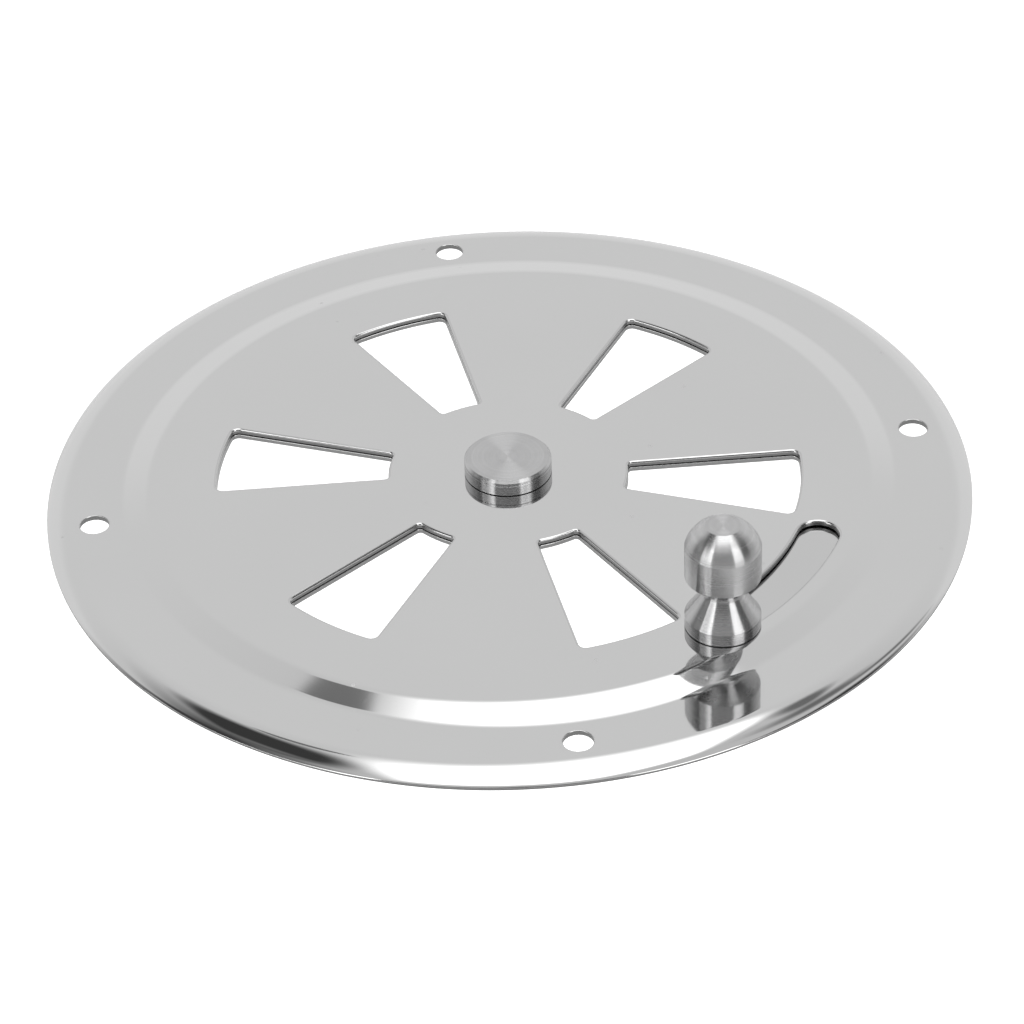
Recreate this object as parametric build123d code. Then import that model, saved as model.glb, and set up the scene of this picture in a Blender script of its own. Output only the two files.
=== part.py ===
from build123d import *
import os
from math import acos, asin, cos, degrees, radians, sin, sqrt, tan

os.makedirs("parts", exist_ok=True)

# Round vent cover with a shutter disc. The origin is on the pivot axis in the plane of the wall, +Z out of the front.
# The slot lies towards -Y. All sizes are in millimetres and degrees.

# Face plate
sheet = 0.7                 # thickness of the pressed sheet
plate_r = 63.5              # outside of the trimmed rim
edge_height = 0.3           # upright cut edge of the rim
rim_width = 3.5             # from the trimmed edge to where the ring starts to roll down
rim_bend_r = 5.2            # outer radius of the rolled rim
rim_past_trim = 20.0        # degrees that the roll is drawn past the edge before it is trimmed
ring_width = 6.8            # between the rim and the foot of the step
step_width = 3.8            # between the foot and the top of the step
step_height = 0.95          # rise from the ring to the middle
step_bend_r = 4.0           # radius of both corners of the step, on the outside
edge_round = 0.2            # rounded edge that a punch leaves on the polished side

# Screw holes in the ring
screw_holes = 4
screw_inset = 6.5           # from the trimmed edge to the middle of a hole
screw_hole_r = 2.0

# Windows, the same in plate and disc
windows = 6
window_inner_r = 16.5
window_web = 1.55           # left between the windows and the slot
window_inner_width = 5.8
window_outer_width = 14.5
window_inner_corner = 0.6
window_outer_corner = 1.0

# Shutter disc behind the plate
disc_gap = 0.25             # space between plate and disc, filled by the spacer
disc_sheet = 0.6
disc_inset = 0.4            # from the top of the step to the disc's edge
disc_edge_round = 0.12
travel = 30.0               # from fully open to fully closed

# Pivot stud and what is on it
stud_head_r = 6.0
stud_head_height = 2.4
stud_chamfer = 0.35
stud_groove_depth = 0.06
stud_groove_width = 0.16
stud_shank_r = 3.0
stud_end_chamfer = 0.5
stud_past_nut = 1.0         # thread that shows behind the lock nut
pivot_clearance = 0.05      # radial, between shank and what turns or sits on it
spacer_r = 6.5
spacer_slack = 0.02         # axial, so that the disc turns free
spring_r = 5.8
spring_sheet = 0.35
spring_height = 0.8         # of the bowed washer when the nut has pressed it
washer_bore_slack = 0.2     # radial, standard washers on their thread
pivot_washer_r = 6.0
pivot_washer_height = 1.2
pivot_nut_flats = 10.0
pivot_nut_height = 4.0
pivot_collar_r = 4.3
pivot_collar_height = 1.9
pivot_collar_round = 0.4
nut_ring_r = 3.8
nut_ring_height = 1.2
thread_slack = 0.02         # radial, between a thread and its nut
nut_chamfer = 30.0          # degrees

# Knob in the slot
knob_inset = 4.5            # from the disc's edge to the knob's axis
knob_foot_r = 5.0
knob_foot_height = 1.75
knob_foot_gap = 0.12        # space under the foot, so that it slides over the plate
knob_waist_r = 2.2
knob_waist_z = 6.0          # heights here are above the plate
knob_waist_bend_r = 1.0
knob_head_r = 5.0
knob_head_start_z = 7.8
knob_dome_z = 12.85
knob_dome_r = 5.2
knob_facing_r = 2.3         # flat left at the top of the dome
knob_edge_round = 0.15
shoulder_r = 2.5
slot_clearance = 0.35       # between shoulder and slot wall
knob_thread_r = 2.0
knob_past_nut = 1.0
knob_end_chamfer = 0.4
slide_washer_r = 4.4
slide_washer_slack = 0.04   # axial, under the plate
knob_washer_r = 4.5
knob_washer_height = 0.8
lock_washer_r = 3.8
lock_washer_height = 0.9
lock_washer_split = 12.0    # slant of the cut, degrees
lock_washer_gap = 0.5
knob_nut_flats = 7.0
knob_nut_height = 3.2

# Places worked out from the sizes above
rim_start_r = plate_r - rim_width
step_foot_r = rim_start_r - ring_width
step_top_r = step_foot_r - step_width
screw_pitch_r = plate_r - screw_inset
disc_r = step_top_r - disc_inset
knob_r = disc_r - knob_inset
slot_width = 2 * (shoulder_r + slot_clearance)
window_outer_r = knob_r - slot_width / 2 - window_web
rim_turn = degrees(asin(rim_width / rim_bend_r))
ring_top = edge_height + rim_bend_r * (1 - cos(radians(rim_turn)))
face_top = ring_top + step_height
face_back = face_top - sheet
disc_top = face_back - disc_gap
disc_back = disc_top - disc_sheet
spring_back = disc_back - spring_height
pivot_washer_back = spring_back - pivot_washer_height
pivot_nut_back = pivot_washer_back - pivot_nut_height - pivot_collar_height
knob_washer_back = disc_back - knob_washer_height
lock_washer_back = knob_washer_back - lock_washer_height
knob_nut_back = lock_washer_back - knob_nut_height
level_fit = 0.001           # how close to a level an edge lies to count as on it
knob_rest = -90 - travel / 2
knob_place = Pos(knob_r * cos(radians(knob_rest)), knob_r * sin(radians(knob_rest)), 0)


def turned(outline):
    """Solid of revolution about Z from (radius, height) points of a closed outline."""
    half_section = make_face(Polyline(*outline, close=True))
    return revolve(Plane.XZ * half_section, Axis.Z, 360)


def ring(outer_r, bore_r, top, back):
    """Flat washer between two levels."""
    return Pos(0, 0, back) * extrude(Circle(outer_r) - Circle(bore_r), top - back)


def level_edges(solid, level):
    """Edges that lie in one level plane."""
    return solid.edges().filter_by_position(Axis.Z, level - level_fit, level + level_fit)


def window():
    """One window about +X: two arcs round the pivot and two straight sides, with rounded corners."""
    inner_half = window_inner_width / 2
    outer_half = window_outer_width / 2
    inner_x = sqrt(window_inner_r ** 2 - inner_half ** 2)
    outer_x = sqrt(window_outer_r ** 2 - outer_half ** 2)
    inner_arc = ThreePointArc((inner_x, -inner_half), (window_inner_r, 0), (inner_x, inner_half))
    outer_arc = ThreePointArc((outer_x, -outer_half), (window_outer_r, 0), (outer_x, outer_half))
    left = Line(inner_arc @ 1, outer_arc @ 1)
    right = Line(inner_arc @ 0, outer_arc @ 0)
    outline = make_face([inner_arc, left, outer_arc, right])
    corners = outline.vertices().sort_by(Axis.X)
    outline = fillet(corners[:2], window_inner_corner)
    corners = outline.vertices().sort_by(Axis.X)
    return fillet(corners[-2:], window_outer_corner)


def window_cutters(top, back):
    """All windows as prisms that run past both levels."""
    prism = Pos(0, 0, back - sheet) * extrude(window(), top - back + 2 * sheet)
    return [Rot(0, 0, 360 / windows * count) * prism for count in range(windows)]


def sheet_section():
    """Section of the pressed sheet in (radius, height), from the axis to the trimmed rim."""
    middle_and_ring = FilletPolyline(
        (0, face_top),
        (step_top_r, face_top),
        (step_foot_r, ring_top),
        (rim_start_r, ring_top),
        radius=step_bend_r,
    )
    rim = CenterArc((rim_start_r, ring_top - rim_bend_r), rim_bend_r, 90, -rim_turn - rim_past_trim)
    outside = Wire([*middle_and_ring.edges(), *rim.edges()])
    untrimmed = make_face(offset(outside, sheet, side=Side.RIGHT, closed=True))
    trim = Pos(plate_r / 2, face_top / 2) * Rectangle(plate_r, face_top)
    return untrimmed & trim


def face_plate():
    """Pressed plate with its windows, slot, pivot hole and screw holes."""
    plate = revolve(Plane.XZ * sheet_section(), Axis.Z, 360)
    plate -= window_cutters(face_top, face_back)
    slot = SlotArc(CenterArc((0, 0), knob_r, knob_rest, travel), slot_width)
    plate -= Pos(0, 0, face_back - sheet) * extrude(slot, 3 * sheet)
    punched = level_edges(plate, face_top).filter_by(lambda edge: not edge.is_closed)
    plate = fillet(punched, edge_round)
    screw_hole = Cylinder(screw_hole_r, 3 * sheet)
    plate -= PolarLocations(screw_pitch_r, screw_holes, 180 / screw_holes) * (Pos(0, 0, ring_top) * screw_hole)
    hole_edges = level_edges(plate, ring_top).sort_by(SortBy.LENGTH)[:screw_holes]
    plate = fillet(hole_edges, edge_round)
    return plate - Pos(0, 0, face_top) * Cylinder(stud_shank_r + pivot_clearance, 3 * sheet)


def shutter_disc():
    """Flat disc with the plate's windows, a pivot hole and the knob's hole."""
    disc = ring(disc_r, stud_shank_r + pivot_clearance, disc_top, disc_back)
    disc -= window_cutters(disc_top, disc_back)
    punched = level_edges(disc, disc_top).filter_by(lambda edge: not edge.is_closed)
    disc = fillet(punched, disc_edge_round)
    return disc - knob_place * Pos(0, 0, disc_top) * Cylinder(knob_thread_r + pivot_clearance, 3 * disc_sheet)


def pivot_stud():
    """Turned stud: flat head in front of the plate, shank through plate and disc, thread end behind."""
    head_top = face_top + stud_head_height
    groove_top = head_top - 2 * stud_chamfer
    groove_r = stud_head_r - stud_groove_depth
    end = pivot_nut_back - stud_past_nut
    return turned([
        (0, head_top),
        (stud_head_r - stud_chamfer, head_top),
        (stud_head_r, head_top - stud_chamfer),
        (stud_head_r, groove_top),
        (groove_r, groove_top - stud_groove_width / 2),
        (stud_head_r, groove_top - stud_groove_width),
        (stud_head_r, face_top),
        (stud_shank_r, face_top),
        (stud_shank_r, end + stud_end_chamfer),
        (stud_shank_r - stud_end_chamfer, end),
        (0, end),
    ])


def spring_washer():
    """Ring of spring sheet bowed about the Y direction: crest against the disc, two edges on the flat washer."""
    height = spring_height - spacer_slack
    bow_r = (spring_r ** 2 + height ** 2 - spring_sheet ** 2) / (2 * (height - spring_sheet))
    centre = spring_back + height - bow_r
    bowed = Rot(90, 0, 0) * extrude(Circle(bow_r) - Circle(bow_r - spring_sheet), spring_r, both=True)
    blank = ring(spring_r, stud_shank_r + washer_bore_slack, disc_back, spring_back)
    return blank & Pos(0, 0, centre) * bowed


def hexagon(flats, height):
    """Hexagon prism upwards from z = 0, its corners turned down at both ends."""
    corner_r = flats / sqrt(3)
    drop = (corner_r - flats / 2) * tan(radians(nut_chamfer))
    prism = extrude(RegularPolygon(corner_r, 6), height)
    return prism & turned([
        (0, 0),
        (flats / 2, 0),
        (corner_r, drop),
        (corner_r, height - drop),
        (flats / 2, height),
        (0, height),
    ])


def pivot_nut():
    """Lock nut: hexagon towards the washer, round collar with a crimped lip behind."""
    collar_start = pivot_nut_back + pivot_collar_height
    nut = Pos(0, 0, collar_start) * hexagon(pivot_nut_flats, pivot_nut_height)
    nut += ring(pivot_collar_r, nut_ring_r, collar_start, pivot_nut_back)
    collar_rim = level_edges(nut, pivot_nut_back).sort_by(SortBy.RADIUS)[-1]
    nut = fillet(collar_rim, pivot_collar_round)
    return nut - Pos(0, 0, collar_start) * Cylinder(stud_shank_r + thread_slack, 4 * pivot_nut_height)


def pivot_nut_ring():
    """Nylon ring held in the lock nut's collar."""
    seat = pivot_nut_back + pivot_collar_height
    return ring(nut_ring_r, stud_shank_r + thread_slack, seat, seat - nut_ring_height)


def knob():
    """Turned knob: foot band, cone to a narrow waist, flared head with a dome, shoulder and thread below."""
    foot = knob_foot_gap
    band_top = foot + knob_foot_height
    end = knob_nut_back - knob_past_nut - face_top
    shoulder_end = disc_top - face_top
    flank = FilletPolyline(
        (knob_foot_r, band_top),
        (knob_waist_r, knob_waist_z),
        (knob_head_r, knob_head_start_z),
        radius=knob_waist_bend_r,
    )
    dome_centre_z = knob_dome_z - sqrt(knob_dome_r ** 2 - knob_head_r ** 2)
    dome_start = degrees(acos(knob_head_r / knob_dome_r))
    dome_end = degrees(acos(knob_facing_r / knob_dome_r))
    dome = CenterArc((0, dome_centre_z), knob_dome_r, dome_start, dome_end - dome_start)
    top = (dome @ 1).Y
    below = Polyline(
        (0, top),
        (0, end),
        (knob_thread_r - knob_end_chamfer, end),
        (knob_thread_r, end + knob_end_chamfer),
        (knob_thread_r, shoulder_end),
        (shoulder_r, shoulder_end),
        (shoulder_r, foot),
        (knob_foot_r, foot),
        (knob_foot_r, band_top),
    )
    head_side = Line((knob_head_r, knob_head_start_z), (knob_head_r, knob_dome_z))
    facing = Line((knob_facing_r, top), (0, top))
    section = make_face([*below.edges(), *flank.edges(), head_side, dome, facing])
    sharp = [(knob_foot_r, band_top, 0), (knob_head_r, knob_head_start_z, 0)]
    corners = [section.vertices().sort_by_distance(corner)[0] for corner in sharp]
    solid = revolve(Plane.XZ * fillet(corners, knob_edge_round), Axis.Z, 360)
    return knob_place * Pos(0, 0, face_top) * solid


def lock_washer():
    """Split spring washer, shown pressed flat, with its slanted cut."""
    washer = ring(lock_washer_r, knob_thread_r + washer_bore_slack, knob_washer_back, lock_washer_back)
    middle_r = (lock_washer_r + knob_thread_r) / 2
    level = (knob_washer_back + lock_washer_back) / 2
    cut = Rot(lock_washer_split, 0, 0) * Box(lock_washer_r, lock_washer_gap, 3 * lock_washer_height)
    return knob_place * (washer - Pos(middle_r, 0, level) * cut)


def knob_nut():
    """Plain hexagon nut on the knob's thread."""
    nut = Pos(0, 0, knob_nut_back) * hexagon(knob_nut_flats, knob_nut_height)
    bore = Pos(0, 0, knob_nut_back) * Cylinder(knob_thread_r + thread_slack, 3 * knob_nut_height)
    return knob_place * (nut - bore)


shank_bore_r = stud_shank_r + pivot_clearance
washer_bore_r = stud_shank_r + washer_bore_slack
slide_washer_bore_r = shoulder_r + pivot_clearance
knob_washer_bore_r = knob_thread_r + washer_bore_slack
pieces = {
    "face_plate": face_plate(),
    "shutter_disc": shutter_disc(),
    "pivot_stud": pivot_stud(),
    "pivot_spacer": ring(spacer_r, shank_bore_r, face_back, disc_top + spacer_slack),
    "spring_washer": spring_washer(),
    "pivot_washer": ring(pivot_washer_r, washer_bore_r, spring_back, pivot_washer_back),
    "pivot_nut": pivot_nut(),
    "pivot_nut_ring": pivot_nut_ring(),
    "knob": knob(),
    "slide_washer": knob_place * ring(slide_washer_r, slide_washer_bore_r, face_back - slide_washer_slack, disc_top),
    "knob_washer": knob_place * ring(knob_washer_r, knob_washer_bore_r, disc_back, knob_washer_back),
    "knob_lock_washer": lock_washer(),
    "knob_nut": knob_nut(),
}
for name, piece in pieces.items():
    export_step(piece, f"parts/{name}.step")
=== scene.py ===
"""Finishes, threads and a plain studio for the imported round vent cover."""

from math import acos, asin, atan2, ceil, cos, pi, radians, sin, sqrt, tan, tau

import bpy
from bpy.props import FloatProperty, FloatVectorProperty, IntProperty, PointerProperty
from bpy.types import Operator, Panel, PropertyGroup
from mathutils import Matrix, Vector


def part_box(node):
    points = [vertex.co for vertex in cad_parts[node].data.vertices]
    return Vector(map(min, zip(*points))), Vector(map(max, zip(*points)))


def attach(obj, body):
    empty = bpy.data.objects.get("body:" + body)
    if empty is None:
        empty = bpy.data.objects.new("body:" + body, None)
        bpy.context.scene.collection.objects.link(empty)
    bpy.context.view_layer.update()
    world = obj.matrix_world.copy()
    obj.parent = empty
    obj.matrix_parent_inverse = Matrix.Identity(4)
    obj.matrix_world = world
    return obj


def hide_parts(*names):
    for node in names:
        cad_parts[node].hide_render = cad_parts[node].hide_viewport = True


bl_info = {
    "name": "Round vent cover",
    "version": (1, 0, 0),
    "blender": (4, 5, 0),
    "location": "3D View > Sidebar > Vent cover",
    "description": "Dresses a round vent cover and sets up its studio",
    "category": "Object",
}

MM = 0.001
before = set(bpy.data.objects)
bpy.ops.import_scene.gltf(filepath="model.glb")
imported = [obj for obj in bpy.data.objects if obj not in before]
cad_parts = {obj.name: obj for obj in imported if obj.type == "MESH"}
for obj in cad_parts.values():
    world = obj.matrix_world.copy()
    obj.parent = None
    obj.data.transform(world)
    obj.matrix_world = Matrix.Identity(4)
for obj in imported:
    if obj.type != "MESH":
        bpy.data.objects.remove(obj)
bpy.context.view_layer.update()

# Fineness of the meshes
ROUND = 360
HOLE_STEPS = 48
OUTER_STEPS, OUTER_CORNER_STEPS = 8, 8
INNER_STEPS, INNER_CORNER_STEPS = 5, 7
SLOT_STEPS, SLOT_END_STEPS = 16, 14
EDGE_STEPS = 5
BEND_STEPS = 16
RIM_STEPS = 40
TRIM_STEPS = 4
FILLET_STEPS = 10
DOME_STEPS = 24
THREAD_STEPS = 14
EASE = 0.05 * MM
TOUCH = 0.001 * MM
TINY = 1e-7
DIGITS = 8
SHARP = radians(22)

ORIGIN = Vector((0, 0))
ONCE, WINDOW, SCREW_HOLE = 0, 1, 2

# A thread's depth as a share of its pitch, and its flanks, cut off by flats at crest and root
THREAD_DEPTH = 0.61
FLANK_START, FLANK_SLOPE = 1.15, 1.3

# How dull a face of the sheet is: mirror polish, punched edge, mill finish of the back, torn wall. Duller
# faces are also darker in colour; on the torn walls that darkening is partly painted shade
POLISHED, EDGE, MILLED, TORN_AND_SHADED = 0.0, 0.2, 0.6, 1.0

# Nuts and washers: scale of the grain, scale and detail of the clouds, tint, roughness, bump in millimetres
TUMBLED = (2600.0, (500.0, 3.0), (0.86, 0.2), (0.24, 0.16), 0.004)
WAXY = (1800.0, (260.0, 2.0), (0.94, 0.08), (0.42, 0.12), 0.006)
WAX_GLOW = {"Subsurface Weight": 0.1, "Subsurface Scale": 0.001}

CLIP = (0.01, 100)
FLOOR_CORNERS = ((-12, -12), (12, -12), (12, 12), (-12, 12))

# The studio in degrees. Bearings start straight away from the camera and grow to the right. The dark walls
# end at a height that falls ahead of the sides and rises behind them. SIDES and BEHIND count from SIDEWAYS.
WALL_TOP = (38, 42)
WALL_FALL, WALL_RISE = 0.6, 0.2
SIDEWAYS = 90
SIDES = (-30, 0)
BEHIND = (22, 30)

# Where each opening starts, is full, gets less and ends: heights and bearings
WALL_WINDOWS = (
    ((12, 17, 29, 31), (-114, -109, -88, -83)),
    ((5, 9, 22, 27), (67, 72, 93, 98)),
)

# Share of the level and bearings of each bright strip, and the height at which they start
STRIPS = (
    (1.0, (-143, -141, -111, -109)),
    (0.75, (121, 123, 149, 151)),
)
STRIP_FOOT = (6, 10)

# Steps of the backdrop's level, by the distance on the ceiling and by the sine of the height
CEILING_FADE = (-0.2, 1.15, 0.84, 1.0)
HORIZON_GLOW = (0.4, 0.575, 1.08, 1.0)

# Places on the ceiling, one unit above the vent: right and away from the camera. An oval has a middle, half
# sizes, a turn in degrees and a softness. The softbox has corners, each with the blur of the next edge.
CEILING_START = (0.0, 0.1)
LOWEST = 0.05
DARK_OVALS = (
    ("shade_left", (-0.56, 0.09), (0.25, 0.4), -18, 0.3),
    ("shade_left", (-1.3, -0.5), (0.9, 0.44), 51, 0.65),
    ("shade_right", (-0.9, -0.45), (0.25, 0.12), -15, 0.75),
    ("shade_right", (-0.7, -0.14), (0.06, 0.18), 51, 0.9),
    ("shade_right", (0.51, 0.31), (0.08, 0.19), 38, 0.5),
    ("shade_right", (0.8, 0.08), (0.22, 0.15), 43, 0.7),
    ("shade_right", (1.2, 0.35), (0.5, 0.07), 41, 0.9),
)
SPOT = ((-0.265, 0.465), (0.078, 0.05), -35, 0.15)
SOFTBOX = (
    ((0.0, 1.3), 0.3),
    ((-0.24, 0.46), 0.22),
    ((-0.29, 0.05), 0.22),
    ((-0.47, -0.42), 0.12),
    ((-0.47, -0.52), 0.1),
    ((0.2, -0.52), 0.14),
    ((0.6, -0.07), 0.08),
    ((0.33, 0.44), 0.1),
    ((0.16, 1.3), 0.2),
)
SOFTBOX_FADE = (1.2, 0.1)

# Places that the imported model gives
FACE_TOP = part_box("face_plate")[1].z
KNOB_LOW, KNOB_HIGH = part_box("knob")
KNOB_AXIS = ((KNOB_LOW.x + KNOB_HIGH.x) / 2, (KNOB_LOW.y + KNOB_HIGH.y) / 2)
STUD_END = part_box("pivot_stud")[0].z
DISC_BACK, DISC_TOP = (corner.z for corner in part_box("shutter_disc"))

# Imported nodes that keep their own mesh
STEEL_NODES = ("spring_washer", "pivot_washer", "pivot_nut", "knob_washer", "knob_lock_washer", "knob_nut")
NYLON_NODES = ("pivot_spacer", "pivot_nut_ring", "slide_washer")


def length(name, description, millimetres):
    """A size in metres, given in millimetres."""
    given = {"default": millimetres * MM, "min": 0, "unit": "LENGTH", "precision": 5}
    return FloatProperty(name=name, description=description, **given)


def level(name, description, default, high=10.0):
    """A plain number."""
    given = {"default": default, "min": 0, "max": high, "subtype": "FACTOR", "precision": 3}
    return FloatProperty(name=name, description=description, **given)


def turn(name, description, degrees):
    """An angle in radians, given in degrees."""
    return FloatProperty(name=name, description=description, default=radians(degrees), subtype="ANGLE")


def colour(name, description, default):
    """A colour."""
    given = {"default": default, "size": 3, "min": 0, "max": 1, "subtype": "COLOR"}
    return FloatVectorProperty(name=name, description=description, **given)


class VentStudio(PropertyGroup):
    """Camera, floor and light"""

    lens: FloatProperty(name="Lens", description="Millimetres, for a 36 mm sensor", default=135.77)
    azimuth: turn("Azimuth", "Where the camera stands, 0 is -Y", -52.6)
    elevation: turn("Elevation", "Camera above the horizon", 37.145)
    roll: turn("Roll", "Turn about the line of sight", -2.2)
    distance: length("Distance", "From the aim point to the camera", 530.57)
    aim_right: length("Aim right", "Camera right of the face's middle", 0.52)
    aim_down: length("Aim down", "Camera below the face's middle", 5.742)
    floor_drop: length("Floor drop", "From the wall down to the floor", 500)
    floor_colour: colour("Floor colour", "Colour of the floor", (0.78, 0.78, 0.78))
    floor_glow: level("Floor glow", "Light of the floor itself", 0.5)
    floor_gloss: level("Floor in gloss", "Share of that light in a gloss", 0.15, 1)
    backdrop: level("Backdrop", "Level of the backdrop", 0.93)
    shade: level("Shade", "Level of the side walls", 0.08)
    wall_window: level("Wall window", "Level of the openings", 0.75)
    shade_left: level("Left shade", "Level of the dark left ovals", 0.06)
    shade_right: level("Right shade", "Level of the dark right ovals", 0.22)
    shade_spot: level("Spot", "Level of the dark spot", 0.23)
    front: level("Front", "Level of the room behind the camera", 0.26)
    softbox: level("Softbox", "Level of the softbox", 2.8)
    strips: level("Strips", "Level of the left strip", 3.5)


class VentFinish(PropertyGroup):
    """Colours and finishes"""

    plate_colour: colour("Plate colour", "Polished stainless sheet", (0.6, 0.6, 0.6))
    plate_roughness: level("Plate roughness", "Roughness of the polish", 0.055, 1)
    # Darkens the plate's punched walls: partly torn metal, partly painted shade between plate and disc
    plate_wall: level("Plate wall", "Share of the colour on punched walls", 0.35, 1)
    disc_colour: colour("Disc colour", "Stainless sheet of the disc", (0.56, 0.56, 0.56))
    disc_roughness: level("Disc roughness", "Roughness of the finish", 0.12, 1)
    # Darkens the disc's punched walls: partly torn metal, partly painted shade between plate and disc
    disc_wall: level("Disc wall", "Share of the colour on punched walls", 0.5, 1)
    turned_colour: colour("Turned colour", "Turned stainless bar", (0.51, 0.51, 0.512))
    turned_roughness: level("Turned roughness", "Roughness round the sides", 0.26, 1)
    faced_roughness: level("Faced roughness", "Roughness of flat ends", 0.17, 1)
    tool_pitch: length("Tool pitch", "Between the lathe's tool marks", 0.11)
    band_pitch: length("Band pitch", "Between bright bands of tool marks", 0.99)
    tool_depth: length("Tool depth", "Depth of the tool marks", 0.0015)
    fastener_colour: colour("Fastener colour", "Nuts and washers", (0.5, 0.5, 0.49))
    nylon_colour: colour("Nylon colour", "Natural nylon", (0.8, 0.79, 0.74))


class VentSheet(PropertyGroup):
    """Sizes of the pressed plate and the disc behind it"""

    plate: length("Plate radius", "Outside of the rim", 63.5)
    sheet: length("Plate sheet", "Thickness of the plate", 0.7)
    trim_round: length("Trim round", "Worn corner of the cut edge", 0.07)
    rim_width: length("Rim width", "From the edge to the start of the roll", 3.5)
    rim_bend: length("Rim bend", "Radius of the rolled rim", 5.2)
    ring_width: length("Ring width", "From the rim to the step", 6.8)
    step_width: length("Step width", "From foot to top", 3.8)
    step_height: length("Step height", "Rise of the step", 0.95)
    step_bend: length("Step bend", "Radius of both corners", 4.0)
    edge_round: length("Punched edge", "Rounding on the front", 0.3)
    screw_holes: IntProperty(name="Screw holes", description="In the ring", default=4, min=1)
    screw_inset: length("Screw inset", "From the edge to a screw hole", 6.5)
    screw_hole: length("Screw hole radius", "Radius of a screw hole", 2.0)
    screw_round: length("Screw hole edge", "Rounding of a screw hole", 0.08)
    windows: IntProperty(name="Windows", description="In plate and disc", default=6, min=1)
    window_inner: length("Window inner radius", "From the pivot to the inner arc", 16.5)
    window_outer: length("Window outer radius", "From the pivot to the outer arc", 40.1)
    inner_width: length("Window inner width", "Width at the inner arc", 5.8)
    outer_width: length("Window outer width", "Width at the outer arc", 14.5)
    inner_corner: length("Window inner corner", "Radius of the inner corners", 0.6)
    outer_corner: length("Window outer corner", "Radius of the outer corners", 1.0)
    slot_radius: length("Slot radius", "From the pivot to the slot", 44.5)
    slot_width: length("Slot width", "Width of the slot", 5.7)
    travel: turn("Travel", "Turn from open to closed", 30)
    pivot_hole: length("Pivot hole radius", "For the stud, in plate and disc", 3.05)
    disc: length("Disc radius", "Outside of the disc", 49.0)
    disc_round: length("Disc edge", "Rounding of the disc's edges", 0.12)
    knob_hole: length("Knob hole radius", "For the knob, in the disc", 2.05)


class VentTurned(PropertyGroup):
    """Sizes of the turned pieces"""

    segments: IntProperty(name="Segments", description="Facets round a piece", default=144, min=24)
    stud_head: length("Stud head radius", "Radius of the head", 6.0)
    stud_head_height: length("Stud head height", "Height of the head", 2.4)
    stud_chamfer: length("Stud chamfer", "Chamfer round the head", 0.35)
    stud_foot: length("Stud foot", "Relief under the head's edge", 0.12)
    groove_depth: length("Groove depth", "Groove under the chamfer", 0.08)
    groove_width: length("Groove width", "Width of the groove", 0.16)
    stud_shank: length("Stud shank", "Radius of shank and thread", 3.0)
    stud_pitch: length("Stud pitch", "Pitch of the thread", 1.0)
    stud_end: length("Stud end", "Chamfer of the end", 0.5)
    foot: length("Foot radius", "Radius of the foot", 5.0)
    foot_gap: length("Foot gap", "Space under the foot", 0.12)
    foot_height: length("Foot height", "Height of the foot", 1.75)
    waist: length("Waist radius", "Radius of the waist", 2.2)
    waist_height: length("Waist height", "From the face to the waist", 6.0)
    waist_bend: length("Waist bend", "Bend of the waist", 1.0)
    head: length("Head radius", "Radius of the head", 5.0)
    head_height: length("Head height", "From the face to the head", 8.1)
    dome_height: length("Dome height", "From the face to the dome", 12.85)
    dome: length("Dome radius", "Radius of the dome", 5.2)
    facing: length("Facing radius", "Flat on top of the dome", 2.3)
    edge: length("Edge round", "Rounding of the edges", 0.15)
    shoulder: length("Shoulder radius", "Radius of the part in the slot", 2.5)
    knob_shank: length("Knob thread radius", "Radius of the thread", 2.0)
    knob_pitch: length("Knob pitch", "Pitch of the thread", 0.7)
    knob_end: length("Knob end", "Chamfer of the end", 0.4)
    thread_shown: length("Thread shown", "Thread cut at the end", 1.6)


class Value:
    """A socket of a node tree. Python arithmetic on it adds Math nodes."""

    def __init__(self, tree, socket):
        self.tree = tree
        self.socket = socket

    def math(self, operation, *sockets):
        return self.tree.node("ShaderNodeMath", dict(enumerate(sockets)), operation=operation)

    def __add__(self, other):
        return self.math("ADD", self, other)

    def __sub__(self, other):
        return self.math("SUBTRACT", self, other)

    def __rsub__(self, other):
        return self.math("SUBTRACT", other, self)

    def __mul__(self, other):
        return self.math("MULTIPLY", self, other)

    def __truediv__(self, other):
        return self.math("DIVIDE", self, other)

    def __abs__(self):
        return self.math("ABSOLUTE", self)

    __radd__, __rmul__ = __add__, __mul__

    def root(self):
        return self.math("SQRT", self)

    def at_least(self, low):
        return self.math("MAXIMUM", self, low)

    def at_most(self, high):
        return self.math("MINIMUM", self, high)

    def step(self, low, high, at_low=0.0, at_high=1.0):
        """Smooth step between two levels as this value goes from low to high."""
        sockets = {"Value": self, "From Min": low, "From Max": high, "To Min": at_low, "To Max": at_high}
        return self.tree.node("ShaderNodeMapRange", sockets, interpolation_type="SMOOTHSTEP")

    def between(self, low, full, less, high):
        """One between the inner two of four levels."""
        return self.step(low, full) * self.step(less, high, 1.0, 0.0)

    def parts(self):
        """The three numbers of a vector."""
        return [self.tree.node("ShaderNodeSeparateXYZ", {0: self}, output=axis) for axis in "XYZ"]


class Tree:
    """Adds nodes to one node tree."""

    def __init__(self, tree):
        self.tree = tree
        self.tree.nodes.clear()

    def node(self, kind, sockets=None, output=0, **settings):
        """Adds a node, sets it up, fills or links its sockets and returns one output."""
        made = self.tree.nodes.new(kind)
        for name, setting in settings.items():
            setattr(made, name, setting)
        for key, given in (sockets or {}).items():
            several = given if isinstance(given, list) else [given]
            for one in several:
                if isinstance(one, Value):
                    self.tree.links.new(one.socket, made.inputs[key])
                else:
                    made.inputs[key].default_value = one
        return Value(self, made.outputs[output]) if made.outputs else None

    def mix(self, below, above, factor):
        """A number between two others, by the factor."""
        return self.node("ShaderNodeMix", {"Factor": factor, "A": below, "B": above})


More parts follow.
